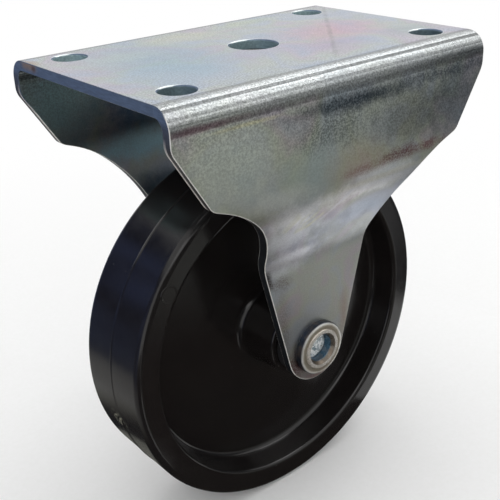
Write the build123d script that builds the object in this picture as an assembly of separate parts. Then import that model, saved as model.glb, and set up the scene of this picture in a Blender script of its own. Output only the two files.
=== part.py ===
from build123d import *
from math import asin, atan2, hypot, radians, sin, tan
import os

# Fixed castor. Millimetres, origin at the centre of the top plate's upper face.
# +X is the way the castor rolls, +Y runs along the axle, +Z is up. The near side is -Y.

# Pressed bracket: sheet and top plate
sheet_thickness = 2.5
plate_length = 98.0
bracket_width = 66.0
plate_bend_radius = 5.0          # outside of the bend between plate and flange
axle_drop = 77.0                 # from the plate's upper face down to the axle

# Pressed bracket: fixing holes
corner_hole_diameter = 8.2
corner_hole_inset_x = 10.0       # from the plate's end to the hole's centre
corner_hole_inset_y = 11.0       # from the flange's outer face to the hole's centre
centre_hole_diameter = 12.2
hole_rim_round = 0.5

# Pressed bracket: joggle that brings each flange in to its leg
joggle_depth = 10.5              # from the flange's outer face in to the leg's
joggle_top_drop = 29.0
joggle_bottom_drop = 48.5
joggle_top_radius = 22.0
joggle_bottom_radius = 10.0

# Pressed bracket: outline seen from the side
shoulder_drop = 8.7              # where the flange's end edge starts to slant inwards
shoulder_radius = 5.0
ear_inset = 9.2                  # from the plate's end in to the flange's lowest corner
ear_drop = 23.6
ear_radius = 3.5
throat_width = 45.0              # where the flange's lower edge and the leg's edge would cross
throat_drop = 30.2
throat_radius = 29.0
leg_end_radius = 9.8

# Moulded wheel
wheel_diameter = 100.0
tread_width = 24.0
tread_edge_round = 1.8
parting_ridge_width = 0.8
parting_ridge_height = 0.15
rim_thickness = 7.0
rim_mouth_round = 1.3
rim_draft = 8.0                  # degrees of taper on the inside of the rim
rim_root_radius = 2.0
web_thickness = 7.8
hub_diameter = 21.5
hub_draft = 3.0                  # degrees of taper on the outside of the hub
hub_root_radius = 2.5
hub_end_round = 0.8

# Axle: rivet, washer, sleeve and thrust washers
rivet_diameter = 10.0
rivet_bore_diameter = 7.5
rivet_bore_depth = 3.4
rivet_flare_width = 0.8          # the drilled hole opens by this much towards the lip
rivet_flare_depth = 1.2
rivet_flare_round = 0.3
rivet_lip_width = 0.7
rivet_lip_height = 0.4
rivet_lip_round = 0.35
rivet_head_diameter = 16.0
rivet_head_height = 2.8
rivet_head_round = 2.4
rivet_washer_diameter = 15.0
rivet_washer_thickness = 2.0
rivet_washer_round = 0.6
sleeve_wall = 1.0
thrust_washer_wall = 3.0
thrust_washer_thickness = 3.0

# Clearances
rivet_clearance = 0.05           # radial, rivet in legs, washer and sleeve
wheel_clearance = 0.06           # radial, wheel's bore on the sleeve
thrust_washer_clearance = 0.1    # radial, thrust washer on the sleeve
hub_end_float = 0.35             # between each end of the hub and its thrust washer

# Sizes that follow from the ones above
plate_end = plate_length / 2
flange_outer = bracket_width / 2
leg_outer = flange_outer - joggle_depth
leg_inner = leg_outer - sheet_thickness
rivet_radius = rivet_diameter / 2
rivet_hole_radius = rivet_radius + rivet_clearance
sleeve_radius = rivet_hole_radius + sleeve_wall
wheel_bore_radius = sleeve_radius + wheel_clearance
hub_half_length = leg_inner - thrust_washer_thickness - hub_end_float
axle_place = Pos(0, 0, -axle_drop)


def rounded_polyline(corners, close=True):
    """Polyline through (x, y, radius) corners, its radii limited by the sides they share."""
    usable_side = 0.96
    count = len(corners)
    points = [Vector(x, y) for x, y, _ in corners]
    inner = range(count) if close else range(1, count - 1)
    reach = [0.0] * count
    for i in inner:
        before = points[i - 1] - points[i]
        after = points[(i + 1) % count] - points[i]
        reach[i] = corners[i][2] * tan(radians(180 - before.get_angle(after)) / 2)
    share = [1.0] * count
    for i in range(count if close else count - 1):
        j = (i + 1) % count
        side = (points[j] - points[i]).length
        fits = usable_side * side / max(reach[i] + reach[j], usable_side * side)
        share[i] = min(share[i], fits)
        share[j] = min(share[j], fits)
    radii = [corners[i][2] * share[i] for i in inner]
    return FilletPolyline(*points, radius=radii, close=close)


def turned(corners):
    """Solid turned about the axle from (radius, distance along the axle, corner radius)."""
    section = make_face(rounded_polyline(corners))
    return axle_place * revolve(section, Axis.Y)


def ring(inner_radius, outer_radius, seat, face, face_round=0.0):
    """Ring on the axle between two places along it, its outer edge rounded at the face."""
    return turned([
        (inner_radius, seat, 0),
        (outer_radius, seat, 0),
        (outer_radius, face, face_round),
        (inner_radius, face, 0),
    ])


def folded_sheet():
    """Plate, flanges and joggled legs before trimming, as one folded section along X."""
    leg_bottom = -axle_drop - leg_end_radius - sheet_thickness
    right = [
        (flange_outer, 0, plate_bend_radius),
        (flange_outer, -joggle_top_drop, joggle_top_radius),
        (leg_outer, -joggle_bottom_drop, joggle_bottom_radius),
        (leg_outer, leg_bottom, 0),
    ]
    left = [(-y, z, radius) for y, z, radius in reversed(right)]
    with BuildSketch(Plane.YZ) as section:
        with BuildLine():
            rounded_polyline(left + right, close=False)
            offset(amount=sheet_thickness, side=Side.RIGHT)
        make_face()
    return extrude(section.sketch, amount=plate_length, both=True)


def side_outline():
    """Outline of the bracket from the side: plate ends, ears, throats and round-ended legs."""
    throat_half = throat_width / 2
    leg_height = axle_drop - throat_drop
    taper = atan2(throat_half, leg_height) - asin(leg_end_radius / hypot(throat_half, leg_height))
    leg_tip = axle_drop + leg_end_radius / sin(taper)
    right = [
        (plate_end, 0, 0),
        (plate_end, -shoulder_drop, shoulder_radius),
        (plate_end - ear_inset, -ear_drop, ear_radius),
        (throat_half, -throat_drop, throat_radius),
    ]
    left = [(-x, z, radius) for x, z, radius in reversed(right)]
    outline = Plane.XZ * make_face(rounded_polyline(right + [(0, -leg_tip, leg_end_radius)] + left))
    return extrude(outline, amount=bracket_width, both=True)


def bracket():
    """Top plate, two flanges and two legs pressed from one sheet, with its holes."""
    body = folded_sheet() & side_outline()
    hole_spacing_x = 2 * (plate_end - corner_hole_inset_x)
    hole_spacing_y = 2 * (flange_outer - corner_hole_inset_y)
    in_plate = Pos(0, 0, -sheet_thickness / 2)
    cut_depth = 2 * sheet_thickness
    corner_hole = in_plate * Cylinder(corner_hole_diameter / 2, cut_depth)
    centre_hole = in_plate * Cylinder(centre_hole_diameter / 2, cut_depth)
    axle_hole = axle_place * Rot(90, 0, 0) * Cylinder(rivet_hole_radius, bracket_width)
    body -= GridLocations(hole_spacing_x, hole_spacing_y, 2, 2) * corner_hole
    body = body - centre_hole - axle_hole
    rims = body.edges().filter_by(GeomType.CIRCLE).group_by(Axis.Z)[-1]
    return fillet(rims, min(hole_rim_round, sheet_thickness / 3))


def wheel():
    """Moulded wheel: tread with its parting ridge, rim, web and hub with a plain bore."""
    radius = wheel_diameter / 2
    half_tread = tread_width / 2
    half_web = web_thickness / 2
    hub_radius = hub_diameter / 2
    hub_spread = (hub_half_length - half_web) * tan(radians(hub_draft))
    rim_inner = radius - rim_thickness
    rim_spread = (half_tread - half_web) * tan(radians(rim_draft))
    half_section = [
        (radius + parting_ridge_height, 0, 0),
        (radius, parting_ridge_width / 2, 0),
        (radius, half_tread, tread_edge_round),
        (rim_inner, half_tread, rim_mouth_round),
        (rim_inner - rim_spread, half_web, rim_root_radius),
        (hub_radius + hub_spread, half_web, hub_root_radius),
        (hub_radius, hub_half_length, hub_end_round),
        (wheel_bore_radius, hub_half_length, 0),
    ]
    mirrored = [(r, -y, corner) for r, y, corner in reversed(half_section[1:])]
    return turned(half_section + mirrored)


def axle_rivet():
    """Axle pin with a formed head on the far side and a drilled, rolled end on the near side."""
    head_radius = rivet_head_diameter / 2
    bore_radius = rivet_bore_diameter / 2
    washer_face = -leg_outer - rivet_washer_thickness
    lip_face = washer_face - rivet_lip_height
    lip_radius = rivet_radius + rivet_lip_width
    return turned([
        (0, leg_outer + rivet_head_height, 0),
        (head_radius, leg_outer + rivet_head_height, rivet_head_round),
        (head_radius, leg_outer, 0),
        (rivet_radius, leg_outer, 0),
        (rivet_radius, washer_face, 0),
        (lip_radius, washer_face, 0),
        (lip_radius, lip_face, rivet_lip_round),
        (bore_radius + rivet_flare_width, lip_face, rivet_flare_round),
        (bore_radius, lip_face + rivet_flare_depth, rivet_flare_round),
        (bore_radius, lip_face + rivet_bore_depth, 0),
        (0, lip_face + rivet_bore_depth, 0),
    ])


def rivet_washer():
    """Thick ring between the near leg and the rolled end of the rivet."""
    face = -leg_outer - rivet_washer_thickness
    return ring(rivet_hole_radius, rivet_washer_diameter / 2, -leg_outer, face, rivet_washer_round)


def axle_sleeve():
    """Tube between the legs, on which the wheel turns."""
    return ring(rivet_hole_radius, sleeve_radius, -leg_inner, leg_inner)


def thrust_washer(side):
    """Spacer between a leg and the hub; side is -1 for the near leg and +1 for the far leg."""
    inner = sleeve_radius + thrust_washer_clearance
    face = side * (leg_inner - thrust_washer_thickness)
    return ring(inner, inner + thrust_washer_wall, side * leg_inner, face)


pieces = {
    "bracket": bracket(),
    "wheel": wheel(),
    "axle_rivet": axle_rivet(),
    "rivet_washer": rivet_washer(),
    "axle_sleeve": axle_sleeve(),
    "thrust_washer_near": thrust_washer(-1),
    "thrust_washer_far": thrust_washer(1),
}

os.makedirs("parts", exist_ok=True)
for node, solid in pieces.items():
    export_step(solid, f"parts/{node}.step")
    print(f"{node}: volume {solid.volume:.1f} mm3, valid {solid.is_valid}")
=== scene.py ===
import math

import bmesh
import bpy
from bpy.props import FloatProperty, FloatVectorProperty, PointerProperty
from mathutils import Euler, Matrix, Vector, noise


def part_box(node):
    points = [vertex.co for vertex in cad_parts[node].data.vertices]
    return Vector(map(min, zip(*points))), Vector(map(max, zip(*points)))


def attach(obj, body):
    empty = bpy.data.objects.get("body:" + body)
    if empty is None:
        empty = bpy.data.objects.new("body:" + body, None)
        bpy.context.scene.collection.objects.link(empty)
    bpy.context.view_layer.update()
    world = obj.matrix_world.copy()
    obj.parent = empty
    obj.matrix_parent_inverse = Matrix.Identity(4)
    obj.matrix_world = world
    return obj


bl_info = {
    "name": "Fixed castor",
    "version": (1, 0, 0),
    "blender": (4, 5, 0),
    "location": "3D View > Sidebar > Castor",
    "description": "Gives a fixed castor its finishes and small details and sets up its studio",
    "category": "Object",
}

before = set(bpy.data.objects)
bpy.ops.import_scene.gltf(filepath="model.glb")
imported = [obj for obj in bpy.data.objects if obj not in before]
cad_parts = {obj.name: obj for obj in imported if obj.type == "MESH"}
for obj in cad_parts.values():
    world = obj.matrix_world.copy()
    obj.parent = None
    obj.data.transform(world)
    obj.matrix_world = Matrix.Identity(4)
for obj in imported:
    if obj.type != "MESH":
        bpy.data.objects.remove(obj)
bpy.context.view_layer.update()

MM = 0.001


def box_mm(node):
    """Lowest and highest corner of a CAD node, in millimetres."""
    low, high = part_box(node)
    return low / MM, high / MM


# Places and sizes read from the frame, in millimetres
bracket_high = box_mm("bracket")[1]
wheel_low, wheel_high = box_mm("wheel")
rivet_low, rivet_high = box_mm("axle_rivet")
FLANGE_OUTER = bracket_high.y
PLATE_END = bracket_high.x
AXLE_Z = (wheel_low.z + wheel_high.z) / 2
WHEEL_REACH = (wheel_high.x - wheel_low.x) / 2
FLOOR_Z = wheel_low.z
NEAR_LIP = rivet_low.y
RIVET_REACH = rivet_high.x + 0.2

# Sizes of the solids that their boxes don't give, in millimetres
SHEET = 2.5
BEND_RADIUS = 5.0
HALF_TREAD = 12.0
BORE_RADIUS = 3.75
BORE_DEPTH = 3.4


def linear(hex_colour):
    """Turns an sRGB hex colour into linear red, green, blue and alpha."""
    channels = [int(hex_colour[i : i + 2], 16) / 255 for i in (1, 3, 5)]
    return (*[c / 12.92 if c <= 0.04045 else ((c + 0.055) / 1.055) ** 2.4 for c in channels], 1.0)


def add(tree, kind, inputs=(), **settings):
    """Adds a node with its settings, and sets or links its inputs, given by name or in their order.
    A Map Range node's are in order: value, the two ends it comes from, the two that it goes to.
    A node given as an input stands for its first output in use."""
    prefix = "" if kind.startswith(("Geometry", "NodeGroup")) else "ShaderNode"
    node = tree.nodes.new(prefix + kind)
    for name, value in settings.items():
        setattr(node, name, value)
    for key, value in inputs.items() if isinstance(inputs, dict) else enumerate(inputs):
        if isinstance(key, int):
            socket = node.inputs[key]
        else:
            socket = next(one for one in node.inputs if one.enabled and one.name == key)
        if isinstance(value, bpy.types.Node):
            value = next(one for one in value.outputs if one.enabled)
        if isinstance(value, bpy.types.NodeSocket):
            tree.links.new(value, socket)
        else:
            socket.default_value = value
    return node


# Settings of a Map Range node that eases in and out, and of a Mix node that mixes colours
SMOOTH = {"interpolation_type": "SMOOTHSTEP"}
COLOURS = {"data_type": "RGBA"}


def new_material(name):
    """Material with an empty node tree."""
    material = bpy.data.materials.new(name)
    material.use_nodes = True
    material.node_tree.nodes.clear()
    return material, material.node_tree


# Finish of the bracket

# Stains of the passivation, and painted light and shade: centre and half sizes in millimetres,
# colour, strength and the share of the patch that the zinc grain breaks up
PLATING_STAINS_AND_PAINTED_LIGHT = [
    # tints of the near flange and a painted reflection on it, lighter left, darker middle and right
    ((-38, -33, -14), (20, 6, 15), "#D4D8CC", 0.7, 0),
    ((-12, -33, -22), (15, 6, 10), "#9DB0AB", 0.4, 0),
    ((4, -33, -23), (15, 6, 7), "#A9957F", 0.45, 0.2),
    ((38, -33, -15), (19, 8, 16), "#5E6872", 0.75, 0.2),
    ((21, -33, -16), (21, 8, 11), "#5E605C", 0.72, 0.25),
    ((-5, -33, -13), (19, 6, 7), "#565E5E", 0.65, 0.6),
    # painted shade: dark band just under the near bend
    ((3, -33, -8.2), (31, 3, 3.2), "#38424C", 0.95, 0.2),
    ((34, -33, -7.4), (26, 3, 2.4), "#565F68", 0.7, 0.5),
    # pink and straw bands under the near bend
    ((-41, -32.6, -5.2), (16, 3, 1.2), "#A87E90", 0.75, 0.1),
    ((-24, -32.8, -5.8), (14, 3, 1.2), "#A09AA6", 0.6, 0.3),
    ((-30, -33, -6.9), (13, 5, 0.7), "#E4DCB0", 0.55, 0.2),
    # brown-red line and straw line at the top of the joggle, beside painted highlights in near white
    ((12, -32.5, -27.8), (17, 5, 3), "#F4F6FA", 0.65, 0),
    ((-21, -33, -26.5), (13, 5, 3.8), "#E4E6E2", 0.55, 0),
    ((20, -33, -24.9), (15, 6, 2.8), "#6A3438", 0.8, 0.65),
    ((30, -33, -25.2), (10, 6, 2.2), "#82484A", 0.5, 0.8),
    ((6, -33, -25.8), (12, 6, 2), "#90605A", 0.55, 0.7),
    ((15, -32.3, -31), (26, 5, 4.2), "#FCFCFF", 0.85, 0),
    ((14, -32.6, -29.4), (28, 5, 1.4), "#ECE8D8", 0.6, 0.3),
    # painted highlight: pale bluish patches that brighten the joggle
    ((-4, -27, -40), (26, 7, 7), "#B2BAC8", 0.45, 0),
    ((-15, -27, -39), (15, 7, 8.5), "#F2F5FA", 0.75, 0),
    ((-18, -31, -33), (11, 5, 7), "#FAFBFF", 0.7, 0),
    ((-9, -31.6, -31.2), (14, 5, 4.4), "#F0F0F0", 0.4, 0),
    # painted highlight: pale line along the foot of the joggle
    ((-12, -23.4, -48.1), (14, 4, 5.4), "#F6F8FF", 1, 0),
    # marks on the near leg
    ((-17.2, -22.6, -51.4), (2.6, 5, 3), "#1C100E", 1, 0.2),
    ((-15.9, -22.5, -53.2), (1.8, 5, 2.4), "#3A1E1C", 0.95, 0.5),
    ((-12.4, -22.5, -54), (5, 5, 3), "#7A6862", 0.65, 0.8),
    ((-8.2, -22.5, -80.6), (5.4, 5, 6.5), "#8E5456", 0.85, 0.85),
    ((-12, -22.5, -67), (3.4, 5, 15), "#8E7E74", 0.55, 0.7),
    ((10.2, -22.5, -70), (2.6, 5, 10), "#B48E80", 0.5, 0.2),
    ((0, -22.5, -86), (8, 5, 2.4), "#CEA49C", 0.6, 0.4),
    # clouds on the plate
    ((-26, 4, 0), (22, 30, 3), "#88AABA", 0.6, 0.1),
    ((24, -2, 0), (22, 15, 3), "#C69CAA", 0.6, 0.1),
    ((14, -15, 0), (15, 9, 3), "#A896B4", 0.5, 0.2),
    ((18, 23.5, 0), (15, 5, 3), "#B9C2A0", 0.5, 0.1),
    ((-8, 20, 0), (15, 7, 3), "#C6C4A6", 0.45, 0.1),
    ((-33, 12, 0), (15, 9, 3), "#B4C2B8", 0.4, 0.1),
    ((-6, -8, 0), (17, 9, 3), "#A6A4C4", 0.45, 0.2),
    ((-38, -12, 0), (12, 14, 3), "#A0B2C0", 0.45, 0.2),
    ((38, -17, 0), (11, 8, 3), "#8FA0A8", 0.5, 0.3),
    ((42, 12, 0), (9, 12, 3), "#AEB0BC", 0.4, 0.2),
    # painted reflection inside the far flange: pale teal and dark blue patches
    ((-40, 30.5, -13), (18, 3.5, 14), "#B6D6D8", 0.95, 0),
    ((-12, 30.5, -18), (26, 4, 15), "#54708E", 0.9, 0),
    ((-16, 29.5, -28.5), (26, 5, 6), "#B8DAE6", 1, 0),
    ((-10, 25, -41), (26, 6, 7), "#5A707E", 0.9, 0),
]

# Rust that shows at the plate's far back corner, listed in the same way
EDGE_STAINS = [
    ((-49, 23.6, -0.4), (3, 5.4, 1.9), "#A08468", 0.85, 0.3),
    ((-49, 21.4, -1), (3, 1.5, 1.1), "#5E4638", 0.9, 0.2),
]

# Strokes of a dried smear on the near joggle: ends in X and Z and half width in millimetres, colour
SMEAR_STROKES = [
    ((-17.2, -35.8), (-14.4, -32.4), 0.6, "#DCDED2"),
    ((-16.2, -36.4), (-13.6, -33.4), 0.45, "#DADAC6"),
    ((-12.2, -37.8), (-8.6, -37.2), 0.6, "#DCDCC6"),
    ((-8.6, -37.2), (-5.2, -34.8), 0.5, "#DEDCC4"),
    ((-12.4, -37.2), (-11.8, -34.4), 0.5, "#D4D6D0"),
    ((-11.8, -34.4), (-9.4, -32.6), 0.45, "#D2D4CC"),
    ((-10.6, -36.2), (-7.6, -34), 0.35, "#D8D8C8"),
    ((-4.8, -36.6), (2.4, -30.6), 0.35, "#D6D6DC"),
]

# Crease across the plate: the way it faces and its distance from the origin in millimetres
CREASE_NORMAL = (0.744, -0.667, 0)
CREASE_PLACE = 19.5

# Tone of the plating by height, as a share of the way up from this many millimetres
ZONES_FOOT = -90.0
PLATING_ZONES = [(0, "#DEE0E0"), (0.42, "#CED0D2"), (0.47, "#B2B7C4"), (0.6, "#BABDC6"),
                 (0.68, "#B8BAAF"), (0.86, "#BCC3BC"), (0.94, "#B4BABC"), (0.995, "#AAB4BE"),
                 (1, "#AAB4BE")]

# Hues of the passivation clouds
PLATING_HUES = [(0.3, "#9FB2C6"), (0.42, "#B4B8C4"), (0.5, "#BCBEA8"), (0.58, "#C4ACB6"),
                (0.7, "#A9AEC6")]

# Colour of the sheared faces by height, on the same scale; the blue-grey at the top is a painted
# reflection of the sky on the plate's ends
SHEARED_TONES_AND_SKY_REFLECTION = [(0, "#2A2D31"), (0.6, "#2C2E32"), (0.7, "#403A36"), (0.9, "#4C4844"),
                 (0.955, "#525A66"), (0.972, "#64748A"), (1, "#64748A")]

# Directions of the scratches: turn in radians and how often they come along X, Y and Z
SCRATCHES = [((0, 0.5, 0.4), (0.05, 3, 3)), ((0.3, -0.7, -0.5), (0.06, 2.6, 2.6))]

# Lines that the press tool ironed round the bend, laid as painted shade, with painted darkening
# towards the flange: radians from the plate, share of the light
DIE_LINES_AND_PAINTED_SHADE = [(-0.15, 1), (-0.06, 0.62), (0.1, 0.62), (0.18, 1), (0.44, 1), (0.53, 0.26),
             (0.64, 0.26), (0.72, 0.94), (0.92, 0.98), (0.98, 0.66), (1.06, 0.66), (1.12, 1),
             (1.18, 0.94), (1.26, 0.68), (1.42, 0.56), (1.58, 0.48), (1.75, 1)]


def set_stops(ramp, stops):
    """Gives a colour ramp its (place, sRGB hex) stops."""
    for end in (0, -1):
        ramp.elements[end].position = stops[end][0]
        ramp.elements[end].color = linear(stops[end][1])
    for place, tone in stops[1:-1]:
        ramp.elements.new(place).color = linear(tone)


def millimetres(tree):
    """Object coordinates in millimetres."""
    place = add(tree, "TexCoord").outputs["Object"]
    return add(tree, "VectorMath", {"Vector": place, "Scale": 1 / MM}, operation="SCALE")


def bend_angle(tree, side, z):
    """Radians round a long bend: 0 where it leaves the plate, a quarter turn at the flange."""
    outwards = add(tree, "Math", [side, FLANGE_OUTER - BEND_RADIUS], operation="SUBTRACT")
    above = add(tree, "Math", [z, BEND_RADIUS], operation="ADD")
    turn = add(tree, "Math", [outwards, above], operation="ARCTAN2")
    return outwards, turn


def bend_streaks_and_shade(tree, looks, x, turn):
    """Tone and height of the lines that the press tool drew along the bend, with the shade painted round
    the bend.
    """
    bend_in = add(tree, "MapRange", [turn, -0.05, 0.12], **SMOOTH)
    bend_out = add(tree, "MapRange", [turn, 1.75, 1.35], **SMOOTH)
    bend = add(tree, "Math", [bend_in, bend_out], operation="MULTIPLY")
    along = add(tree, "Math", [x, looks.streak_length / MM], operation="DIVIDE")
    across = add(tree, "Math", [turn, looks.streaks], operation="MULTIPLY")
    place = add(tree, "CombineXYZ", {"X": along, "Y": across})
    streak = add(tree, "TexNoise", {"Vector": place, "Scale": 1.0, "Detail": 4.0, "Roughness": 0.75},
                 noise_dimensions="2D")
    streak_tone = add(tree, "MapRange", [streak, 0.34, 0.62, 0.74, 1.12])
    wander = add(tree, "Math", [streak, 0.04, turn], operation="MULTIPLY_ADD")
    low, high = DIE_LINES_AND_PAINTED_SHADE[0][0], DIE_LINES_AND_PAINTED_SHADE[-1][0]
    middle = 0.02
    share = add(tree, "MapRange", [wander, low + middle, high + middle])
    # Painted shade round the bend, with the press tool's lines
    ironed_and_shaded = add(tree, "FloatCurve", {"Value": share})
    curve = ironed_and_shaded.mapping.curves[0]
    curve.points[0].location = (0.0, DIE_LINES_AND_PAINTED_SHADE[0][1])
    curve.points[1].location = (1.0, DIE_LINES_AND_PAINTED_SHADE[-1][1])
    for angle, light in DIE_LINES_AND_PAINTED_SHADE[1:-1]:
        curve.points.new((angle - low) / (high - low), light)
    ironed_and_shaded.mapping.update()
    mixed = add(tree, "Mix", {"Factor": bend, "A": 1.0, "B": streak_tone})
    tone = add(tree, "Math", [mixed, ironed_and_shaded], operation="MULTIPLY")
    drawn = add(tree, "Math", [streak, bend], operation="MULTIPLY")
    return bend, tone, drawn


def lay_stains_and_painted_light(tree, position, colour, stain_and_light_patches, ragged, speckle):
    """Lays patches of stain and of painted light over a colour, each frayed by a noise and partly broken up
    by the grain.
    """
    for centre, reach, tone, strength, broken in stain_and_light_patches:
        shifted = add(tree, "VectorMath", [position, centre], operation="SUBTRACT")
        scaled = add(tree, "VectorMath", [shifted, reach], operation="DIVIDE")
        distance = add(tree, "VectorMath", [scaled], operation="LENGTH")
        frayed = add(tree, "Math", [distance, ragged], operation="ADD")
        mask = add(tree, "MapRange", [frayed, 1.55, 0.6, 0.0, strength], **SMOOTH)
        grainy = add(tree, "Mix", {"Factor": broken, "A": 1.0, "B": speckle})
        share = add(tree, "Math", [mask, grainy], operation="MULTIPLY")
        colour = add(tree, "Mix", {"Factor": share, "A": colour, "B": linear(tone)}, **COLOURS)
    return colour


def smeared(tree, x, y, z, colour, ragged):
    """Lays the strokes of the dried smear over a colour, on the near side only."""
    near = add(tree, "MapRange", [y, -20.0, -25.0, 0.0, 0.55])
    side_view = add(tree, "CombineXYZ", {"X": x, "Y": z})
    for start, end, half_width, tone in SMEAR_STROKES:
        stroke = Vector(end) - Vector(start)
        from_start = add(tree, "VectorMath", [side_view, (*start, 0.0)], operation="SUBTRACT")
        way = (*stroke.normalized(), 0.0)
        along = add(tree, "VectorMath", [from_start, way], operation="DOT_PRODUCT")
        share = add(tree, "MapRange", [along, 0.0, stroke.length])
        nearest = add(tree, "VectorMath", {"Vector": (*stroke, 0.0), "Scale": share}, operation="SCALE")
        gap = add(tree, "VectorMath", [from_start, nearest], operation="DISTANCE")
        frayed = add(tree, "Math", [gap, ragged], operation="ADD")
        mask = add(tree, "MapRange", [frayed, half_width + 1.2, 0.35, 0.0, near], **SMOOTH)
        colour = add(tree, "Mix", {"Factor": mask, "A": colour, "B": linear(tone)}, **COLOURS)
    return colour


def sheared_faces(tree, x, z, side, outwards):
    """Masks of the sheared faces, of the walls of the plate's holes and of the holes' rims. The
    sheet's own faces never look along X, and only the bends look both sideways and up."""
    facing = add(tree, "VectorMath", [add(tree, "TexCoord").outputs["Normal"]], operation="ABSOLUTE")
    end_on, sideways, upright = add(tree, "SeparateXYZ", [facing]).outputs
    # Walls are the plate's steep faces short of its ends, and rims its tilted ones near the top
    in_plate = add(tree, "MapRange", [outwards, 0.0, -1.0])
    wall = add(tree, "MapRange", [upright, 0.5, 0.3, 0.0, in_plate])
    wall_high = add(tree, "MapRange", [z, -SHEET - 0.7, -SHEET - 0.3, 0.0, wall])
    endwards = add(tree, "Math", [x], operation="ABSOLUTE")
    holes = add(tree, "MapRange", [endwards, PLATE_END - 0.1, PLATE_END - 0.3, 0.0, wall_high])
    tilted = add(tree, "MapRange", [upright, 0.99, 0.93, 0.0, in_plate])
    rim = add(tree, "MapRange", [z, -0.7, -0.5, 0.0, tilted])
    # Cut faces look along X, or downwards on the flanges and legs
    ended = add(tree, "MapRange", [end_on, 0.25, 0.4], **SMOOTH)
    along = add(tree, "MapRange", [sideways, 0.35, 0.2])
    under = add(tree, "MapRange", [z, -7.0, -9.0, 0.0, along])
    cut = add(tree, "Math", [ended, under], operation="MAXIMUM")
    sheared = add(tree, "Math", [cut, holes], operation="MAXIMUM")
    # The punch burnished the inner part of the flange's ends, down to the joggle
    inner = add(tree, "MapRange", [side, FLANGE_OUTER - 1.5, FLANGE_OUTER - 1.8])
    lower = add(tree, "MapRange", [z, -6.0, -9.0, 0.0, inner])
    burnished = add(tree, "MapRange", [z, -31.0, -27.0, 0.0, lower])
    return sheared, holes, rim, burnished


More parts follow.
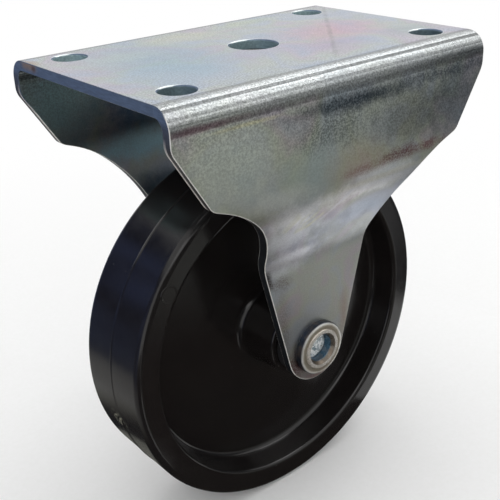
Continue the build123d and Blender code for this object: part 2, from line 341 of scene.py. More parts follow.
def zinc_plated_sheet(looks):
    """Bright zinc over pressed steel: cool grey metal, salt-and-pepper grain, cloudy passivation
    tints, die lines round the bends and duller sheared edges, with painted highlights, reflections and
    shade laid into the colour. It gives the eye a worn, satin metal."""
    material, tree = new_material("zinc_plated_sheet_steel")
    position = millimetres(tree)
    x, y, z = add(tree, "SeparateXYZ", [position]).outputs
    side = add(tree, "Math", [y], operation="ABSOLUTE")
    outwards, turn = bend_angle(tree, side, z)
    bend, streak_tone, drawn = bend_streaks_and_shade(tree, looks, x, turn)

    # Tone by height, then clouds of straw, pink and blue about 20 mm across
    height = add(tree, "MapRange", [z, ZONES_FOOT, 0.0])
    zones = add(tree, "ValToRGB", {"Fac": height})
    set_stops(zones.color_ramp, PLATING_ZONES)
    clouds = add(tree, "TexNoise",
                 {"Vector": position, "Scale": 1 / 20.0, "Detail": 3.0, "Distortion": 0.6})
    hues = add(tree, "ValToRGB", {"Fac": clouds})
    set_stops(hues.color_ramp, PLATING_HUES)
    tinted = add(tree, "Mix", {"Factor": looks.tint_strength, "A": zones, "B": hues}, **COLOURS)
    # Painted highlight: the bends are lightened towards pale grey
    bend_highlight = add(tree, "Math", [bend, 0.85], operation="MULTIPLY")
    colour = add(tree, "Mix", {"Factor": bend_highlight, "A": tinted, "B": linear("#C2C6C6")}, **COLOURS)

    # Grain of the zinc crystals, drawn about twice as coarse as the real one so that it shows
    grain = add(tree, "TexNoise",
                {"Vector": position, "Scale": 1 / looks.grain_mm, "Detail": 2.0, "Roughness": 0.7})
    speckle = add(tree, "MapRange", [grain, 0.6, 0.42])

    # Stains and painted light, each frayed by a 4 mm noise and partly broken up by the grain
    ragged = add(tree, "TexNoise",
                 {"Vector": position, "Scale": 1 / 4.0, "Detail": 5.0, "Roughness": 0.7})
    colour = lay_stains_and_painted_light(tree, position, colour, PLATING_STAINS_AND_PAINTED_LIGHT, ragged, speckle)
    colour = smeared(tree, x, y, z, colour, ragged)

    # Painted shade along the thin crease that the roller left slantwise across the plate
    crease_place = add(tree, "VectorMath", [position, CREASE_NORMAL], operation="DOT_PRODUCT")
    crease_off = add(tree, "Math", [crease_place, CREASE_PLACE], operation="SUBTRACT")
    crease_gap = add(tree, "Math", [crease_off], operation="ABSOLUTE")
    crease = add(tree, "MapRange", [crease_gap, 0.9, 0.2, 0.0, 0.55], **SMOOTH)
    on_plate = add(tree, "MapRange", [side, 27.0, 22.0, 0.0, crease])
    crease_painted_shade = add(tree, "MapRange", [z, -0.5, -0.2, 0.0, on_plate])
    worn = add(tree, "Math", [crease_painted_shade, ragged], operation="MULTIPLY")
    colour = add(tree, "Mix", {"Factor": worn, "A": colour, "B": linear("#6C6E70")}, **COLOURS)

    # The grain is strongest beside the bends and faint on the legs
    on_leg = add(tree, "MapRange", [z, -24.0, -6.0, 0.3, 1.1])
    beside = add(tree, "MapRange", [side, 14.0, 28.0, 0.9, 1.5], **SMOOTH)
    on_top = add(tree, "MapRange", [z, -9.0, -5.0])
    extra = add(tree, "Mix", {"Factor": on_top, "A": on_leg, "B": beside})
    swing = add(tree, "MapRange", [grain, 0.35, 0.65, -0.26, 0.22])
    grain_tone = add(tree, "Math", [swing, extra, 1.0], operation="MULTIPLY_ADD")
    toned = add(tree, "VectorMath", {"Vector": colour, "Scale": grain_tone}, operation="SCALE")
    # The bend's streaks and its painted shade
    streaked_and_shaded = add(tree, "VectorMath", {"Vector": toned, "Scale": streak_tone}, operation="SCALE")

    # Sheared faces: torn steel with a burnished band and a painted sky reflection on the plate's ends,
    # hole walls painted teal as a reflection, and hole rims painted pale as a highlight
    sheared, holes, rim, burnished = sheared_faces(tree, x, z, side, outwards)
    cut_tones_and_reflection = add(tree, "ValToRGB", {"Fac": height})
    set_stops(cut_tones_and_reflection.color_ramp, SHEARED_TONES_AND_SKY_REFLECTION)
    banded = add(tree, "Mix", {"Factor": burnished, "A": cut_tones_and_reflection, "B": linear("#D8D2C8")}, **COLOURS)
    # Painted reflection in the hole walls: teal, darker towards the near side
    across = add(tree, "MapRange", [y, -24.0, 24.0])
    wall_painted_reflection = add(tree, "Mix", {"Factor": across, "A": linear("#687C84"), "B": linear("#9CB4B8")},
                    **COLOURS)
    walled = add(tree, "Mix", {"Factor": holes, "A": banded, "B": wall_painted_reflection}, **COLOURS)
    torn_place = add(tree, "VectorMath", [position, (2.2, 0.4, 2.2)], operation="MULTIPLY")
    torn = add(tree, "TexNoise", {"Vector": torn_place, "Scale": 1.0, "Detail": 2.0})
    torn_tone = add(tree, "MapRange", [torn, 0.0, 1.0, 0.55, 1.3])
    torn_colour = add(tree, "VectorMath", {"Vector": walled, "Scale": torn_tone}, operation="SCALE")
    # Painted highlight: the hole rims are pale
    rims_painted_highlight = add(tree, "Mix", {"Factor": rim, "A": streaked_and_shaded, "B": linear("#E4ECEC")}, **COLOURS)
    finished = add(tree, "Mix", {"Factor": sheared, "A": rims_painted_highlight, "B": torn_colour}, **COLOURS)
    rusted = lay_stains_and_painted_light(tree, position, finished, EDGE_STAINS, ragged, speckle)
    dull = add(tree, "Math", [sheared, rim], operation="MAXIMUM")
    metallic = add(tree, "MapRange", [dull, 0.0, 1.0, 1.0, 0.55])

    # Long fine scratches from handling, 0.15 mm wide, in two directions
    relief = grain
    for turn_by, spread in SCRATCHES:
        place = add(tree, "Mapping", {"Vector": position, "Rotation": turn_by, "Scale": spread})
        scratch = add(tree, "TexNoise", {"Vector": place, "Scale": 1.0, "Detail": 1.0})
        line = add(tree, "MapRange", [scratch, 0.68, 0.76, 0.0, 0.7])
        relief = add(tree, "Math", [relief, line], operation="SUBTRACT")

    rough = add(tree, "MapRange", [ragged, 0.3, 0.7, looks.roughness - 0.06, looks.roughness + 0.08])
    rubbed = add(tree, "Math", [bend, -0.07, rough], operation="MULTIPLY_ADD")
    torn_rough = add(tree, "Math", [sheared, 0.15, rubbed], operation="MULTIPLY_ADD")
    grained = add(tree, "Bump", {"Strength": 0.32, "Distance": 0.05 * MM, "Height": relief})
    ridged = add(tree, "Bump", {"Strength": 0.5, "Distance": 0.12 * MM, "Height": drawn,
                                "Normal": grained})
    shader = add(tree, "BsdfPrincipled", {"Base Color": rusted, "Metallic": metallic,
                                          "Roughness": torn_rough, "Normal": ridged})
    add(tree, "OutputMaterial", [shader])
    return material


def burnished_edge_and_painted_light():
    """Rounded arris of the sheet, rubbed bright in the barrel, with a painted highlight on the thin
    light line round its outline and painted shade on the arrises of the plate and of the flanges' inner
    side high up.
    """
    material, tree = new_material("burnished_edge_and_painted_light")
    position = millimetres(tree)
    y, z = add(tree, "SeparateXYZ", [position]).outputs[1:]
    nicks = add(tree, "TexNoise", {"Vector": position, "Scale": 1 / 1.5, "Detail": 3.0})
    rubbed = add(tree, "Mix", {"Factor": nicks, "A": linear("#BCB6AA"), "B": linear("#F0F2F0")},
                 **COLOURS)
    side = add(tree, "Math", [y], operation="ABSOLUTE")
    outside = add(tree, "MapRange", [side, FLANGE_OUTER - 2.0, FLANGE_OUTER - 0.8])
    below = add(tree, "MapRange", [z, -11.0, -14.0])
    highlighted_arris = add(tree, "Math", [outside, below], operation="MAXIMUM")
    # Painted highlight on the outer and lower arrises, painted shade on the rest
    tone = add(tree, "Mix", {"Factor": highlighted_arris, "A": linear("#4E5A6C"), "B": rubbed}, **COLOURS)
    rough = add(tree, "MapRange", [nicks, 0.0, 1.0, 0.2, 0.4])
    shader = add(tree, "BsdfPrincipled", {"Base Color": tone, "Metallic": 0.35, "Roughness": rough})
    add(tree, "OutputMaterial", [shader])
    return material


# Finish of the wheel

# Scuffed patch of the tread: centre and half sizes in millimetres
TREAD_SCUFF = (-48.0, 1.5, -90.2)
TREAD_SCUFF_REACH = (4.5, 4.5, 4.4)


def moulded_black_polypropylene(looks):
    """Injection-moulded polypropylene: deep black with a sharp gloss, slightly wavy where the wall
    shrank, with light scuffs and a few dust specks."""
    material, tree = new_material("moulded_black_polypropylene")
    position = millimetres(tree)
    shrink = add(tree, "TexNoise", {"Vector": position, "Scale": 1 / 14.0, "Detail": 1.0})
    skin = add(tree, "TexNoise", {"Vector": position, "Scale": 1 / 0.5, "Detail": 2.0})
    wear = add(tree, "TexNoise", {"Vector": position, "Scale": 1 / 6.0, "Detail": 6.0, "Roughness": 0.7})
    dust = add(tree, "TexVoronoi", {"Vector": position, "Scale": 1 / 5.0})
    speck = add(tree, "MapRange", [dust, 0.035, 0.02, 0.0, 0.5])
    tone = add(tree, "Mix", {"Factor": wear, "A": (*looks.deep, 1.0), "B": (*looks.worn, 1.0)}, **COLOURS)
    dusty = add(tree, "Mix", {"Factor": speck, "A": tone, "B": linear("#6A6A66")}, **COLOURS)
    from_scuff = add(tree, "VectorMath", [position, TREAD_SCUFF], operation="SUBTRACT")
    spread = add(tree, "VectorMath", [from_scuff, TREAD_SCUFF_REACH], operation="DIVIDE")
    scuff_gap = add(tree, "VectorMath", [spread], operation="LENGTH")
    grit = add(tree, "TexNoise", {"Vector": position, "Scale": 1 / 0.9, "Detail": 2.0})
    scuff = add(tree, "MapRange", [scuff_gap, 1.0, 0.0, 0.0, 0.8], **SMOOTH)
    scuffed_share = add(tree, "MapRange", [grit, 0.5, 0.66, 0.0, scuff])
    scuffed = add(tree, "Mix", {"Factor": scuffed_share, "A": dusty, "B": linear("#B4B2A0")}, **COLOURS)
    rough = add(tree, "MapRange", [wear, 0.3, 0.75, looks.roughness - 0.04, looks.roughness + 0.12])
    wavy = add(tree, "Bump", {"Strength": 0.35, "Distance": 0.25 * MM, "Height": shrink})
    fine = add(tree, "Bump", {"Strength": 0.12, "Distance": 0.01 * MM, "Height": skin, "Normal": wavy})
    shader = add(tree, "BsdfPrincipled", {"Base Color": scuffed, "Roughness": rough, "IOR": 1.49,
                                          "Normal": fine})
    add(tree, "OutputMaterial", [shader])
    return material


# Finish of the axle

# Tones of the turned rings: distance from the axle in millimetres, sRGB hex. The rivet's dark blue
# bore is painted shade and its pale lip partly a painted highlight; the washer's near-white edge is a
# painted highlight and its dark navy side wall painted shade
RIVET_TONES_AND_PAINTED_LIGHT = [(0, "#42647A"), (3.8, "#42647A"), (3.95, "#6A645C"), (4.5, "#746C62"),
               (4.7, "#E8E6E0"), (5.25, "#ECE8E0"), (5.6, "#CCC6BC"), (8.2, "#B4B2AA")]
WASHER_TONES_AND_PAINTED_LIGHT = [(0, "#9A9486"), (5.9, "#9A9486"), (6.5, "#A49E90"), (6.8, "#E0DCD2"),
                (7.15, "#F4F4F0"), (7.42, "#202834"), (8.2, "#202834")]


def zinc_plated_rivet(name, ring_tones, brown_share, roughness):
    """Zinc on a cold-formed rivet: bright where the tool rolled it, partly as a painted highlight,
    straw-brown in the hollows, painted dark blue in the bore as its shade. The ring tones show on the near
    side, and the last of them covers the far head."""
    material, tree = new_material(name)
    position = millimetres(tree)
    y = add(tree, "SeparateXYZ", [position]).outputs["Y"]
    centred = add(tree, "VectorMath", [position, (1.0, 0.0, 1.0), (0.0, 0.0, -AXLE_Z)],
                  operation="MULTIPLY_ADD")
    radius = add(tree, "VectorMath", [centred], operation="LENGTH")
    rings = add(tree, "Math", [radius, 1 / 0.2], operation="MULTIPLY")
    turning = add(tree, "TexNoise", {"W": rings, "Scale": 1.0, "Detail": 2.0}, noise_dimensions="1D")
    patches = add(tree, "TexNoise", {"Vector": position, "Scale": 1 / 2.5, "Detail": 4.0})
    share = add(tree, "Math", [radius, RIVET_REACH], operation="DIVIDE")
    far_head = add(tree, "MapRange", [y, 0.0, 1.0])
    ring_place = add(tree, "Math", [share, far_head], operation="MAXIMUM")
    ringed = add(tree, "ValToRGB", {"Fac": ring_place})
    set_stops(ringed.color_ramp, [(distance / RIVET_REACH, tone) for distance, tone in ring_tones])
    brown = add(tree, "MapRange", [patches, 0.42, 0.62, 0.0, brown_share], **SMOOTH)
    tone = add(tree, "Mix", {"Factor": brown, "A": ringed, "B": linear("#7E6C5A")}, **COLOURS)
    rough = add(tree, "MapRange", [patches, 0.3, 0.7, roughness - 0.05, roughness + 0.1])
    ridged = add(tree, "Bump", {"Strength": 0.3, "Distance": 0.04 * MM, "Height": turning})
    pitted = add(tree, "Bump", {"Strength": 0.15, "Distance": 0.06 * MM, "Height": patches,
                                "Normal": ridged})
    shader = add(tree, "BsdfPrincipled", {"Base Color": tone, "Metallic": 0.7, "Roughness": rough,
                                          "Normal": pitted})
    add(tree, "OutputMaterial", [shader])
    return material


def torn_steel():
    """Broken floor of the rivet's hole: coarse crystals with painted glints in near white between dark
    pits.
    """
    material, tree = new_material("torn_rivet_steel")
    position = millimetres(tree)
    crystals = add(tree, "TexVoronoi", {"Vector": position, "Scale": 1 / 0.8})
    pits = add(tree, "TexNoise", {"Vector": position, "Scale": 1 / 0.9, "Detail": 3.0})
    facets = add(tree, "SeparateXYZ", [crystals.outputs["Color"]])
    mixed = add(tree, "Math", [facets, pits], operation="MULTIPLY")
    tone = add(tree, "MapRange", [mixed, 0.05, 0.34])
    # Painted glints: the crystals run up to near white
    colour = add(tree, "Mix", {"Factor": tone, "A": linear("#86969C"), "B": linear("#FAFCFC")}, **COLOURS)
    bumped = add(tree, "Bump", {"Strength": 0.5, "Distance": 0.12 * MM, "Height": crystals})
    shader = add(tree, "BsdfPrincipled", {"Base Color": colour, "Metallic": 0.3, "Roughness": 0.45,
                                          "Normal": bumped})
    add(tree, "OutputMaterial", [shader])
    return material


def drawn_steel_tube():
    """Plain drawn tube: grey steel with fine rings where the wheel has turned on it."""
    material, tree = new_material("drawn_steel_tube")
    along = add(tree, "SeparateXYZ", [millimetres(tree)]).outputs["Y"]
    rings = add(tree, "TexNoise", {"W": along, "Scale": 3.0, "Detail": 3.0}, noise_dimensions="1D")
    tone = add(tree, "Mix", {"Factor": rings, "A": linear("#7C7E80"), "B": linear("#B4B6B8")}, **COLOURS)
    ridged = add(tree, "Bump", {"Strength": 0.3, "Distance": 0.03 * MM, "Height": rings})
    shader = add(tree, "BsdfPrincipled", {"Base Color": tone, "Metallic": 1.0, "Roughness": 0.35,
                                          "Normal": ridged})
    add(tree, "OutputMaterial", [shader])
    return material


def black_nylon():
    """Moulded nylon: black and satin with a fine texture from the tool."""
    material, tree = new_material("black_nylon")
    texture = add(tree, "TexNoise", {"Vector": millimetres(tree), "Scale": 1 / 0.3, "Detail": 3.0})
    tone = add(tree, "Mix", {"Factor": texture, "A": linear("#161617"), "B": linear("#242426")},
               **COLOURS)
    bumped = add(tree, "Bump", {"Strength": 0.4, "Distance": 0.03 * MM, "Height": texture})
    shader = add(tree, "BsdfPrincipled", {"Base Color": tone, "Roughness": 0.5, "IOR": 1.53,
                                          "Normal": bumped})
    add(tree, "OutputMaterial", [shader])
    return material


# Pieces made here

def finish_node(name, *materials):
    """Gives a CAD node its materials, the first one over the whole of it."""
    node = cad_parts[name]
    node.data.materials.clear()
    for material in materials:
        node.data.materials.append(material)
    return node


def linked(name, data):
    """Object with a mesh, a lamp or a camera, in the scene."""
    made = bpy.data.objects.new(name, data)
    bpy.context.scene.collection.objects.link(made)
    return made


def mesh_of(name, mesh_data, material):
    """Mesh of one material from a bmesh."""
    mesh = bpy.data.meshes.new(name)
    mesh_data.to_mesh(mesh)
    mesh_data.free()
    mesh.materials.append(material)
    return mesh


def shaded_smooth(mesh):
    """Shades all faces of a mesh smooth."""
    mesh.polygons.foreach_set("use_smooth", [True] * len(mesh.polygons))


def new_piece(name, mesh_data, material, body):
    """Object of its own from a bmesh in millimetres, on a CAD body."""
    bmesh.ops.scale(mesh_data, vec=(MM, MM, MM), verts=mesh_data.verts)
    bmesh.ops.recalc_face_normals(mesh_data, faces=mesh_data.faces)
    mesh = mesh_of(name, mesh_data, material)
    shaded_smooth(mesh)
    piece = linked(name, mesh)
    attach(piece, body)


def turned_mesh(profile, centre, steps):
    """Bmesh turned about a line along Y through the centre, from (radius, place along the line)
    corners. It is closed at the last of them."""
    mesh_data = bmesh.new()
    x, y, z = centre
    rings = []
    for radius, place in profile:
        turns = [math.tau * i / steps for i in range(steps if radius else 1)]
        corners = [(x + radius * math.cos(turn), y + place, z + radius * math.sin(turn)) for turn in turns]
        rings.append([mesh_data.verts.new(corner) for corner in corners])
    for first, second in zip(rings, rings[1:]):
        for i in range(steps):
            j = (i + 1) % steps
            quad = [ring[k % len(ring)] for ring, k in ((first, i), (first, j), (second, j), (second, i))]
            mesh_data.faces.new(list(dict.fromkeys(quad)))
    if len(rings[-1]) > 1:
        mesh_data.faces.new(rings[-1])
    return mesh_data


def bore_floor(material):
    """Rough, slightly domed floor of the rivet's drilled hole."""
    seat = NEAR_LIP + BORE_DEPTH
    edge_rise, dome_rise, crown_rise = 0.08, 0.45, 0.55
    waviness, wave_scale = 0.16, 1.7
    inner = 0.98 * BORE_RADIUS
    rings = 14
    profile = [(BORE_RADIUS, seat)]
    for i in range(rings - 1):
        profile.append((BORE_RADIUS * (1 - i / rings), seat - edge_rise - dome_rise * (i / rings) ** 2))
    profile.append((0, seat - crown_rise))
    mesh_data = turned_mesh(profile, (0, 0, AXLE_Z), steps=48)
    for vertex in mesh_data.verts:
        if math.hypot(vertex.co.x, vertex.co.z - AXLE_Z) < inner:
            vertex.co.y += waviness * noise.noise(vertex.co * wave_scale)
    new_piece("rivet_bore_floor", mesh_data, material, "bracket_frame")


def pin_mark(looks, material):
    """Round mark that an ejector pin left on the near face of the rim."""
    turn = math.radians(looks.mark_turn)
    reach = looks.mark_reach / MM
    radius = looks.mark_size / MM / 2
    centre = (-reach * math.cos(turn), -HALF_TREAD, AXLE_Z + reach * math.sin(turn))
    # share of the mark's radius, depth in millimetres
    section = [(1.0, 0.12), (0.97, -0.05), (0.90, -0.09), (0.82, -0.04), (0.76, 0.02)]
    mesh_data = turned_mesh([(radius * share, depth) for share, depth in section], centre, steps=40)
    new_piece("rim_pin_mark", mesh_data, material, "rolling_wheel")


def flash_tree():
    """Geometry nodes for the thin, uneven flash that follows the parting line round the tread."""
    tree = bpy.data.node_groups.new("parting_flash", "GeometryNodeTree")
    tree.interface.new_socket("Geometry", in_out="OUTPUT", socket_type="NodeSocketGeometry")
    sockets = {}
    for name in ("Radius", "Height", "Thickness", "Unevenness", "Material"):
        kind = "NodeSocketMaterial" if name == "Material" else "NodeSocketFloat"
        sockets[name] = tree.interface.new_socket(name, in_out="INPUT", socket_type=kind).identifier
    entry = add(tree, "NodeGroupInput")
    circle = add(tree, "GeometryNodeCurvePrimitiveCircle",
                 {"Resolution": 360, "Radius": entry.outputs["Radius"]}, mode="RADIUS")
    upright = add(tree, "GeometryNodeTransform",
                  {"Geometry": circle, "Rotation": (math.pi / 2, 0.0, 0.0)})
    place = add(tree, "GeometryNodeInputPosition")
    ripple = add(tree, "TexNoise", {"Vector": place, "Scale": 1 / (3.0 * MM), "Detail": 2.0})
    centred = add(tree, "Math", [ripple, 0.5], operation="SUBTRACT")
    amount = add(tree, "Math", [centred, entry.outputs["Unevenness"]], operation="MULTIPLY")
    outwards = add(tree, "VectorMath", [place], operation="NORMALIZE")
    shift = add(tree, "VectorMath", {"Vector": outwards, "Scale": amount}, operation="SCALE")
    moved = add(tree, "GeometryNodeSetPosition", {"Geometry": upright, "Offset": shift})
    profile = add(tree, "GeometryNodeCurvePrimitiveCircle",
                  {"Resolution": 8, "Radius": entry.outputs["Thickness"]}, mode="RADIUS")
    swept = add(tree, "GeometryNodeCurveToMesh", {"Curve": moved, "Profile Curve": profile})
    lowered = add(tree, "CombineXYZ", {"Z": entry.outputs["Height"]})
    seated = add(tree, "GeometryNodeTransform", {"Geometry": swept, "Translation": lowered})
    real = add(tree, "GeometryNodeRealizeInstances", [seated])
    painted = add(tree, "GeometryNodeSetMaterial",
                  {"Geometry": real, "Material": entry.outputs["Material"]})
    add(tree, "NodeGroupOutput", [painted])
    return tree, sockets


def parting_flash(looks, material):
    """Thin line of flash on the crest of the moulded parting ridge."""
    tree, sockets = flash_tree()
    carrier = linked("flash_carrier", bpy.data.meshes.new("flash_carrier"))
    modifier = carrier.modifiers.new("parting_flash", "NODES")
    modifier.node_group = tree
    values = {"Radius": (WHEEL_REACH - looks.flash_thickness / MM) * MM, "Height": AXLE_Z * MM,
              "Thickness": looks.flash_thickness, "Unevenness": 0.06 * MM, "Material": material}
    for name, value in values.items():
        modifier[sockets[name]] = value
    evaluated = carrier.evaluated_get(bpy.context.evaluated_depsgraph_get())
    mesh = bpy.data.meshes.new_from_object(evaluated)
    mesh.name = "tread_parting_flash"
    bpy.data.objects.remove(carrier)
    shaded_smooth(mesh)
    piece = linked("tread_parting_flash", mesh)
    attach(piece, "rolling_wheel")


# Studio

# Height of the reflector cards' feet, in metres
FOOT = FLOOR_Z * MM + 0.003

# Reflector cards: name, tones by height in millimetres, mottling, first and last azimuth in degrees,
# foot and head as (distance from the castor, height) in metres. The cards that lie flat on the floor
# are painted shadow of the floor round the castor, with a painted lighter patch on the left.
CARDS = [
    ("card_front", [(-124, "#3A3836"), (-121.5, "#5A5854"), (-117, "#A0A29E"), (-90, "#A8AAA6"),
                    (-60, "#B0B2AE"), (-40, "#BCBEBC"), (160, "#BCBEBC")],
     0.08, (7, 48), (0.105, FOOT), (0.62, 0.16)),
    ("card_front_left", [(-124, "#302E2E"), (-110, "#3A3A3A"), (160, "#50525A")],
     0.1, (-40, 7), (0.105, FOOT), (0.62, 0.16)),
    # painted shadow of the floor in front of the castor, seen only in gloss
    ("floor_card_painted_shade_front", [(-127, "#3A322E"), (-125, "#3A322E")],
     0.2, (-30, 50), (0.048, FOOT - 0.002), (0.105, FOOT - 0.001)),
    # painted shadow of the floor right round the front of the castor's foot
    ("floor_card_painted_shade_near", [(-127, "#34302E"), (-125, "#34302E")],
     0.2, (-75, 100), (0.006, FOOT - 0.002), (0.048, FOOT - 0.0015)),
    ("card_front_right", [(-122, "#707478"), (-114, "#B4B6B8"), (-80, "#B4B6B8"),
                          (-40, "#50555A"), (180, "#50555A")],
     0.1, (48, 57), (0.12, FOOT), (0.62, 0.18)),
    ("card_right", [(-122, "#303438"), (-80, "#50555A"), (180, "#50555A")],
     0.1, (57, 118), (0.12, FOOT), (0.62, 0.18)),
    ("card_back_left", [(-122, "#3C4458"), (-100, "#4A5674"), (-60, "#586998"),
                        (60, "#586998"), (280, "#343C58")],
     0.85, (195, 290), (0.15, FOOT), (0.5, 0.28)),
    # painted shadow of the floor to the front left
    ("floor_card_painted_shade_front_left", [(-127, "#2A2A2E"), (-112, "#44444C")],
     0.2, (290, 320), (0.048, FOOT - 0.002), (0.26, FOOT + 0.008)),
    # painted shadow of the floor to the left, dark near the wheel and lighter further out
    ("floor_card_painted_shade_left", [(-126.65, "#2E2E30"), (-125.75, "#28282A"), (-125.5, "#363636"),
                         (-125.15, "#84847E"), (-124.9, "#A2A2A0"), (-123.9, "#A2A2A0"),
                         (-123.2, "#84868A")],
     0.1, (195, 290), (0.030, FOOT - 0.0025), (0.15, FOOT + 0.001)),
    # painted light: a lighter patch within the painted shadow on the left
    ("floor_card_painted_light_left", [(-126, "#74746E"), (-125.7, "#74746E")],
     0.1, (195, 250), (0.034, FOOT - 0.0018), (0.053, FOOT - 0.0016)),
]

# Softboxes: name, place and side in metres. A property of the same name holds the radiance.
SOFTBOXES = [
    ("key", (0.4, -0.02, 0.52), 0.36),
    ("top", (-0.1, 0, 0.75), 0.5),
    ("fill", (-0.35, -0.62, 0.42), 0.4),
]

# Half the floor's side in metres
HALF_FLOOR = 4.0


def studio_object(name, mesh_data, material):
    """Object of the stage from a bmesh in metres."""
    made = linked(name, mesh_of(name, mesh_data, material))
    return made


def seen_white(tree):
    """1 for a camera, glossy or transmission ray, which see the white background."""
    rays = add(tree, "LightPath")
    either = add(tree, "Math", [rays.outputs["Is Camera Ray"], rays.outputs["Is Glossy Ray"]],
                 operation="MAXIMUM")
    return add(tree, "Math", [either, rays.outputs["Is Transmission Ray"]], operation="MAXIMUM")


def pale_floor(looks):
    """Pale paper sweep: it takes the shadow near the castor and runs out to plain white."""
    material, tree = new_material("pale_paper_sweep")
    place = add(tree, "TexCoord").outputs["Object"]
    distance = add(tree, "VectorMath", [place], operation="LENGTH")
    fibres = add(tree, "TexNoise", {"Vector": place, "Scale": 0.9 / MM, "Detail": 2.0})
    tone = add(tree, "Mix", {"Factor": fibres, "A": linear("#F1F1F0"), "B": linear("#F7F7F7")}, **COLOURS)
    far = add(tree, "MapRange", [distance, looks.shadow_reach, looks.shadow_reach * 2.2], **SMOOTH)
    share = add(tree, "Math", [far, seen_white(tree)], operation="MULTIPLY")
    paper = add(tree, "BsdfPrincipled", {"Base Color": tone, "Roughness": 0.9})
    white = add(tree, "Emission", {"Color": linear("#FFFFFF"), "Strength": 1.0})
    mixed = add(tree, "MixShader", [share, paper, white])
    add(tree, "OutputMaterial", [mixed])
    return material


def card_paint(name, tones, mottling):
    """Grey or blue of a reflector card, graded by (height in mm, sRGB hex) and mottled by a share;
    it glows as a lit card does."""
    material, tree = new_material(name)
    position = millimetres(tree)
    z = add(tree, "SeparateXYZ", [position]).outputs["Z"]
    low, high = tones[0][0], tones[-1][0]
    height = add(tree, "MapRange", [z, low, high])
    graded = add(tree, "ValToRGB", {"Fac": height})
    set_stops(graded.color_ramp, [((place - low) / (high - low), tone) for place, tone in tones])
    patches = add(tree, "TexNoise", {"Vector": position, "Scale": 1 / 90.0, "Detail": 3.0})
    share = add(tree, "MapRange", [patches, 0.36, 0.64, 1.0 - mottling, 1.0 + mottling])
    glow = add(tree, "Emission", {"Color": graded, "Strength": share})
    add(tree, "OutputMaterial", [glow])
    return material


def card(name, tones, mottling, azimuths, foot, head):
    """Curved reflector card round the castor between two azimuths.
    It shows in gloss alone, so it takes no light from the object and isn't in the picture."""
    steps = 24
    first_turn, last_turn = azimuths
    mesh_data = bmesh.new()
    columns = []
    for i in range(steps + 1):
        turn = math.radians(first_turn + (last_turn - first_turn) * i / steps)
        ends = [(reach * math.sin(turn), -reach * math.cos(turn), height) for reach, height in (foot, head)]
        columns.append([mesh_data.verts.new(end) for end in ends])
    for first, second in zip(columns, columns[1:]):
        mesh_data.faces.new([first[0], second[0], second[1], first[1]])
    made = studio_object(name, mesh_data, card_paint(name, tones, mottling))
    for ray in ("camera", "diffuse", "shadow", "transmission", "volume_scatter"):
        setattr(made, "visible_" + ray, False)


def softbox(name, place, size, radiance):
    """Square area lamp that looks at the castor, its power worked out from its radiance."""
    data = bpy.data.lights.new(name, "AREA")
    data.shape = "SQUARE"
    data.size = size
    data.energy = radiance * math.pi * size * size
    lamp = linked(name, data)
    lamp.location = place
    aim = Vector((0.0, 0.0, AXLE_Z * MM / 2)) - Vector(place)
    lamp.rotation_euler = aim.to_track_quat("-Z", "Y").to_euler()


def studio_world(looks):
    """White surround for camera and gloss, and a softer grey for the light that it sheds."""
    world = bpy.data.worlds.new("studio_surround")
    world.use_nodes = True
    tree = world.node_tree
    tree.nodes.clear()
    strength = add(tree, "Mix", {"Factor": seen_white(tree), "A": looks.surround, "B": 1.0})
    background = add(tree, "Background", {"Color": linear("#FFFFFF"), "Strength": strength})
    add(tree, "OutputWorld", [background])
    bpy.context.scene.world = world


# Settings that a user would change

class BracketLooks(bpy.types.PropertyGroup):
    edge_round: FloatProperty(name="Edge round", description="Rounding along the sheet's arrises",
                              default=0.17 * MM, unit="LENGTH")
    streak_length: FloatProperty(name="Streak length", description="Length of the bend's press streaks",
                                 default=60.0 * MM, unit="LENGTH")
    streaks: FloatProperty(name="Streaks", description="Press streaks per radian of a bend", default=9.0)
    grain_mm: FloatProperty(name="Grain", description="Size of the grain in millimetres", default=0.45)
    tint_strength: FloatProperty(name="Tint", description="Share of the passivation colours",
                                 default=0.42, subtype="FACTOR")
    roughness: FloatProperty(name="Roughness", description="Roughness of the plated sheet",
                             default=0.36, subtype="FACTOR")


class WheelLooks(bpy.types.PropertyGroup):
    deep: FloatVectorProperty(name="Deep black", description="Colour of the clean plastic",
                              default=linear("#121011")[:3], subtype="COLOR")
    worn: FloatVectorProperty(name="Worn black", description="Colour of the rubbed plastic",
                              default=linear("#1B1816")[:3], subtype="COLOR")
    roughness: FloatProperty(name="Roughness", description="Roughness of the moulded gloss",
                             default=0.16, subtype="FACTOR")
    flash_thickness: FloatProperty(name="Flash", description="Radius of the line of flash on the tread",
                                   default=0.12 * MM, unit="LENGTH")
    mark_size: FloatProperty(name="Pin mark", description="Diameter of the ejector pin's mark",
                             default=5.0 * MM, unit="LENGTH")
    mark_reach: FloatProperty(name="Mark radius", description="Distance from the axle to the pin mark",
                              default=46.2 * MM, unit="LENGTH")
    mark_turn: FloatProperty(name="Mark turn", default=33.6,
                             description="Degrees from the wheel's back up to the pin mark")


class StageLooks(bpy.types.PropertyGroup):
    camera_place: FloatVectorProperty(name="Camera", description="Place of the camera", unit="LENGTH",
                                      default=(-0.1354, -0.1619, 0.0438), subtype="TRANSLATION")
    camera_turn: FloatVectorProperty(name="Camera turn", default=(64.62, 1.87, -40.06),
                                     description="Turn of the camera about X, Y and Z, in degrees")
    lens: FloatProperty(name="Lens", description="Focal length in millimetres", default=61.0)
    surround: FloatProperty(name="Surround", description="Strength of the light all round", default=0.85)
    key: FloatProperty(name="Key", description="Radiance of the main softbox", default=2.3)
    top: FloatProperty(name="Top", description="Radiance of the overhead softbox", default=1.0)
    fill: FloatProperty(name="Fill", description="Radiance of the softbox beside the camera", default=0.8)
    shadow_reach: FloatProperty(name="Shadow reach", description="Radius of the floor that takes shadow",
                                default=0.17, unit="LENGTH")


# Operators

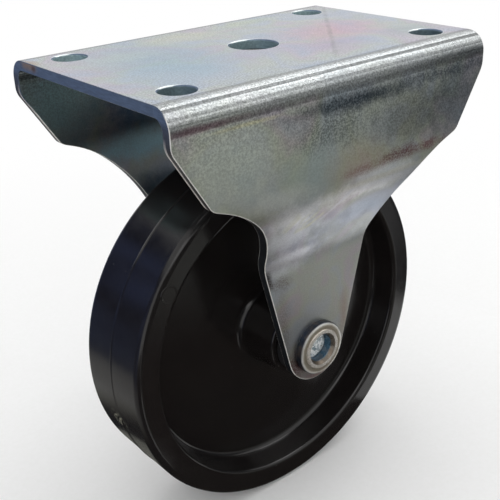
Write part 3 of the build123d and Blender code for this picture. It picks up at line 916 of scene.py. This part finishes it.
class CASTOR_OT_bracket(bpy.types.Operator):
    """Finishes the pressed bracket"""
    bl_idname = "castor.bracket"
    bl_label = "Pressed bracket"

    def execute(self, context):
        looks = context.scene.castor_bracket
        node = finish_node("bracket", zinc_plated_sheet(looks), burnished_edge_and_painted_light())
        weld = node.modifiers.new("join_triangles", "WELD")
        weld.merge_threshold = 1e-6
        bevel = node.modifiers.new("rounded_arris", "BEVEL")
        bevel.width = looks.edge_round
        bevel.segments = 3
        bevel.limit_method = "ANGLE"
        bevel.angle_limit = math.radians(40)
        bevel.material = 1
        bevel.loop_slide = False
        bevel.use_clamp_overlap = False
        node.modifiers.new("even_shading", "WEIGHTED_NORMAL")
        return {"FINISHED"}


class CASTOR_OT_wheel(bpy.types.Operator):
    """Finishes the moulded wheel and adds its moulding marks"""
    bl_idname = "castor.wheel"
    bl_label = "Moulded wheel"

    def execute(self, context):
        looks = context.scene.castor_wheel
        plastic = moulded_black_polypropylene(looks)
        finish_node("wheel", plastic)
        parting_flash(looks, plastic)
        pin_mark(looks, plastic)
        return {"FINISHED"}


class CASTOR_OT_axle(bpy.types.Operator):
    """Finishes the rivet, its washer, the sleeve and the thrust washers"""
    bl_idname = "castor.axle"
    bl_label = "Riveted axle"

    def execute(self, context):
        rivet = zinc_plated_rivet("zinc_plated_rivet_steel", RIVET_TONES_AND_PAINTED_LIGHT, 0.30, 0.24)
        washer = zinc_plated_rivet("zinc_plated_washer_steel", WASHER_TONES_AND_PAINTED_LIGHT, 0.25, 0.3)
        finish_node("axle_rivet", rivet)
        finish_node("rivet_washer", washer)
        bore_floor(torn_steel())
        finish_node("axle_sleeve", drawn_steel_tube())
        nylon = black_nylon()
        for name in ("thrust_washer_near", "thrust_washer_far"):
            finish_node(name, nylon)
        return {"FINISHED"}


class CASTOR_OT_stage(bpy.types.Operator):
    """Sets up floor, surround, softboxes, reflector cards and camera"""
    bl_idname = "castor.stage"
    bl_label = "Studio"

    def execute(self, context):
        looks = context.scene.castor_stage
        scene = context.scene
        scene.view_settings.view_transform = "Standard"
        studio_world(looks)
        mesh_data = bmesh.new()
        corners = [(x * HALF_FLOOR, y * HALF_FLOOR) for x, y in ((-1, -1), (1, -1), (1, 1), (-1, 1))]
        mesh_data.faces.new([mesh_data.verts.new((x, y, FLOOR_Z * MM)) for x, y in corners])
        studio_object("floor", mesh_data, pale_floor(looks))
        for name, place, size in SOFTBOXES:
            softbox(name + "_softbox", place, size, getattr(looks, name))
        for settings in CARDS:
            card(*settings)
        data = bpy.data.cameras.new("photo_camera")
        data.sensor_width = 36.0
        data.lens = looks.lens
        data.clip_start = 0.01
        camera = linked("photo_camera", data)
        camera.location = looks.camera_place
        camera.rotation_euler = Euler([math.radians(turn) for turn in looks.camera_turn], "XYZ")
        scene.camera = camera
        return {"FINISHED"}


class CASTOR_PT_panel(bpy.types.Panel):
    """Lists the settings and steps of the fixed castor"""
    bl_idname = "CASTOR_PT_panel"
    bl_label = "Fixed castor"
    bl_space_type = "VIEW_3D"
    bl_region_type = "UI"
    bl_category = "Castor"

    def draw(self, context):
        for looks, operator in ((context.scene.castor_bracket, CASTOR_OT_bracket),
                                (context.scene.castor_wheel, CASTOR_OT_wheel),
                                (None, CASTOR_OT_axle),
                                (context.scene.castor_stage, CASTOR_OT_stage)):
            group = self.layout.box()
            group.operator(operator.bl_idname)
            for name in getattr(type(looks), "__annotations__", {}):
                group.prop(looks, name)


CLASSES = (BracketLooks, WheelLooks, StageLooks, CASTOR_OT_bracket, CASTOR_OT_wheel, CASTOR_OT_axle,
           CASTOR_OT_stage, CASTOR_PT_panel)


def register():
    for made in CLASSES:
        bpy.utils.register_class(made)
    bpy.types.Scene.castor_bracket = PointerProperty(type=BracketLooks)
    bpy.types.Scene.castor_wheel = PointerProperty(type=WheelLooks)
    bpy.types.Scene.castor_stage = PointerProperty(type=StageLooks)


def unregister():
    del bpy.types.Scene.castor_stage
    del bpy.types.Scene.castor_wheel
    del bpy.types.Scene.castor_bracket
    for made in reversed(CLASSES):
        bpy.utils.unregister_class(made)


def main():
    register()
    bpy.ops.castor.bracket()
    bpy.ops.castor.wheel()
    bpy.ops.castor.axle()
    bpy.ops.castor.stage()


if __name__ == "__main__":
    main()
